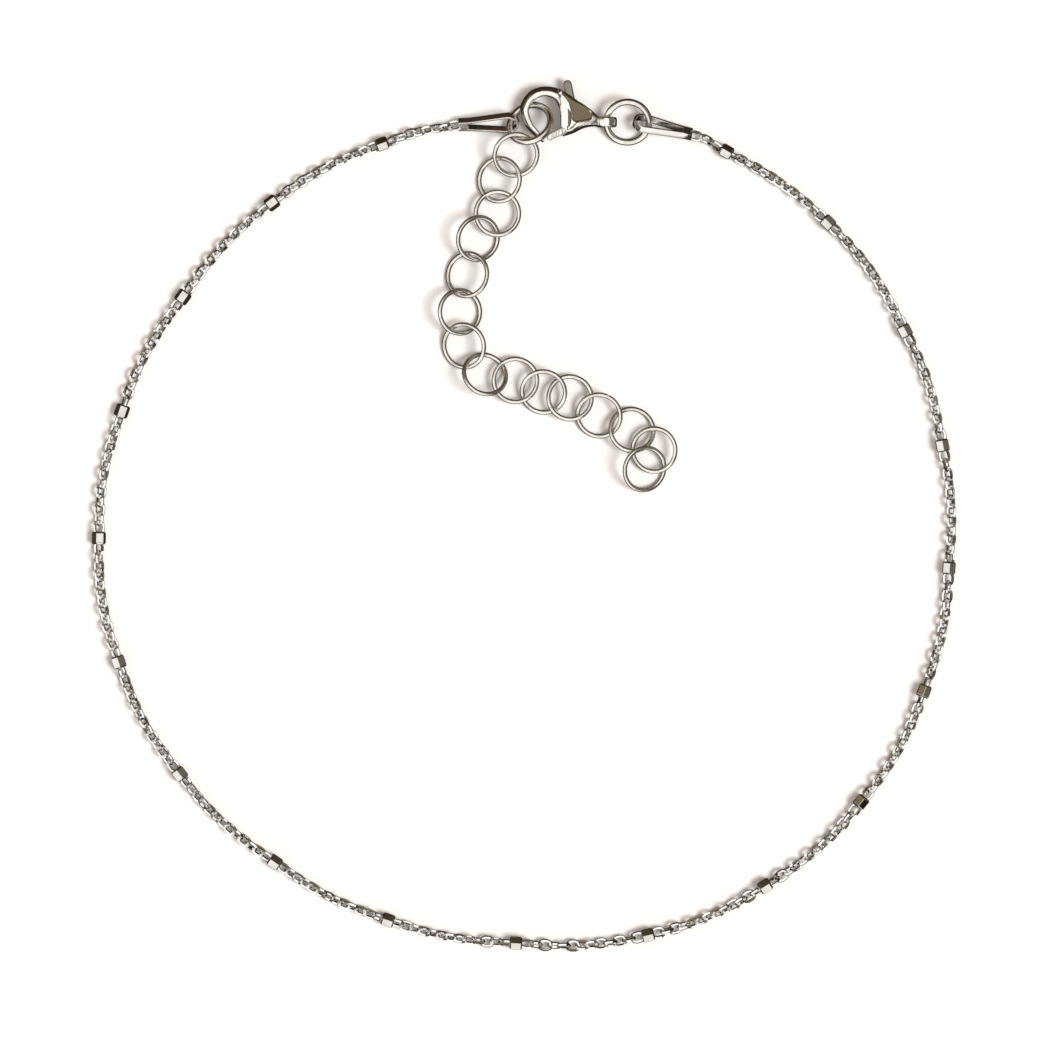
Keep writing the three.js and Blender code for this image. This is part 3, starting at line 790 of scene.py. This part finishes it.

# Floor, light and surroundings
# the floor's colour where the silver mirrors it is a painted shade, near black
studio = {"floor": 3.0, "floorTone": 0.88, "floorPatch": 12.0, "mirroredFloorShade": (0.018, 0.015, 0.011),
          "mirroredTwice": 0.7, "sky": (0.60, 0.525, 0.472), "sunPower": 2.75, "sunAngle": 26,
          "sunElevation": 55, "sunAzimuth": -20, "tent": (0.016, 0.014, 0.012),
          "below": (0.01, 0.009, 0.008), "horizon": 0.05, "crown": (1.30, 1.28, 1.25), "crownFrom": 60,
          "crownSoft": 5}
cards = [  # what the silver mirrors: azimuth, half spread, lowest and highest elevation, soft edge, colour
    {"azimuth": 204, "spread": 62, "low": 17, "high": 60, "soft": 4, "colour": (1.28, 1.27, 1.24)},
    {"azimuth": 274, "spread": 36, "low": 0, "high": 60, "soft": 4, "colour": (1.28, 1.27, 1.24)},
    {"azimuth": 14, "spread": 46, "low": 0, "high": 55, "soft": 6, "colour": (0.19, 0.17, 0.14)},
    {"azimuth": 92, "spread": 42, "low": 4, "high": 46, "soft": 6, "colour": (0.042, 0.027, 0.016)},
    {"azimuth": 92, "spread": 60, "low": -8, "high": 14, "soft": 5, "colour": (0.075, 0.032, 0.025)},
    {"azimuth": 104, "spread": 62, "low": 36, "high": 57, "soft": 4, "colour": (0.24, 0.203, 0.13)},
    {"azimuth": 150, "spread": 18, "low": 8, "high": 40, "soft": 6, "colour": (0.28, 0.225, 0.13)},
]


def makeFloor():
    mesh = bpy.data.meshes.new("floor")
    half = studio["floor"] / 2
    corners = [(-half, -half, 0), (half, -half, 0), (half, half, 0), (-half, half, 0)]
    mesh.from_pydata(corners, [], [(0, 1, 2, 3)])
    material = bpy.data.materials.new("paleSurface")
    material.use_nodes = True
    material.node_tree.nodes.clear()
    root = Signal(material.node_tree)
    place = root.make("ShaderNodeTexCoord", out="Object")
    cloud = root.make("ShaderNodeTexNoise", {},
                      {"Vector": place, "Scale": studio["floorPatch"], "Detail": 2.0})
    tone = studio["floorTone"]
    colour = cloud.paint((tone, tone, tone * 0.995, 1), (tone * 0.985, tone * 0.98, tone * 0.97, 1))
    bounces = root.make("ShaderNodeLightPath", out="Glossy Depth")
    once, twice = bounces.rise(0.4, 0.6), bounces.rise(1.4, 1.6)
    mirroredShade = once * (1 - studio["mirroredTwice"] * twice)  # the floor as the silver mirrors it is painted dark as shade, less so from piece to piece
    colour = mirroredShade.paint(colour, (*studio["mirroredFloorShade"], 1))
    shader = root.make("ShaderNodeBsdfPrincipled", {}, {"Base Color": colour, "Roughness": 0.75,
                                                        "Specular IOR Level": 0.2})
    root.make("ShaderNodeOutputMaterial", {}, {"Surface": shader})
    mesh.materials.append(material)
    floor = bpy.data.objects.new("floor", mesh)
    scene.collection.objects.link(floor)


# An even pale sky for the floor, and for the silver a tent with light and dark cards round it
def makeSurroundings():
    world = bpy.data.worlds.new("studio")
    world.use_nodes = True
    world.node_tree.nodes.clear()
    scene.world = world
    root = Signal(world.node_tree)
    direction = root.make("ShaderNodeTexCoord", out="Generated")
    east, north, high = (root.make("ShaderNodeSeparateXYZ", {}, {"Vector": direction}, axis)
                         for axis in "XYZ")
    level = root.maths("SQRT", root.maths("MAXIMUM", 1 - high * high, 0.0004))
    east, north = east / level, north / level
    sunk = 1 - high.rise(-studio["horizon"], studio["horizon"])
    colour = sunk.paint((*studio["tent"], 1), (*studio["below"], 1))
    for card in cards:
        turn, soft = math.radians(card["azimuth"]), card["soft"]
        facing = east * math.cos(turn) + north * math.sin(turn)
        sides = [math.cos(math.radians(card["spread"] + k * soft)) for k in (1, -1)]
        low, top = ([math.sin(math.radians(card[end] + k * soft)) for k in (-1, 1)]
                    for end in ("low", "high"))
        mask = facing.rise(*sides)
        colour = (mask * high.rise(*low) * (1 - high.rise(*top))).paint(colour, (*card["colour"], 1))
    crown = [math.sin(math.radians(studio["crownFrom"] + k * studio["crownSoft"])) for k in (-1, 1)]
    colour = high.rise(*crown).paint(colour, (*studio["crown"], 1))
    rays = root.make("ShaderNodeLightPath", out="Is Diffuse Ray")
    colour = rays.paint(colour, (*studio["sky"], 1))
    rays = root.make("ShaderNodeLightPath", out="Is Camera Ray")
    colour = rays.paint(colour, (1, 1, 1, 1))
    shader = root.make("ShaderNodeBackground", {}, {"Color": colour, "Strength": 1.0})
    root.make("ShaderNodeOutputWorld", {}, {"Surface": shader})


def makeSun():
    sun = bpy.data.objects.new("softSun", bpy.data.lights.new("softSun", "SUN"))
    sun.data.energy, sun.data.angle = studio["sunPower"], math.radians(studio["sunAngle"])
    tall, turn = math.radians(studio["sunElevation"]), math.radians(studio["sunAzimuth"])
    toSun = Vector((math.cos(tall) * math.cos(turn), math.cos(tall) * math.sin(turn), math.sin(tall)))
    sun.visible_glossy = False  # lights the floor; the cards give the silver its lights
    sun.rotation_mode = "QUATERNION"
    sun.rotation_quaternion = toSun.to_track_quat("Z", "Y")
    scene.collection.objects.link(sun)


makeFloor()
makeSurroundings()
makeSun()
scene.view_settings.view_transform = "Standard"
print("studio made")
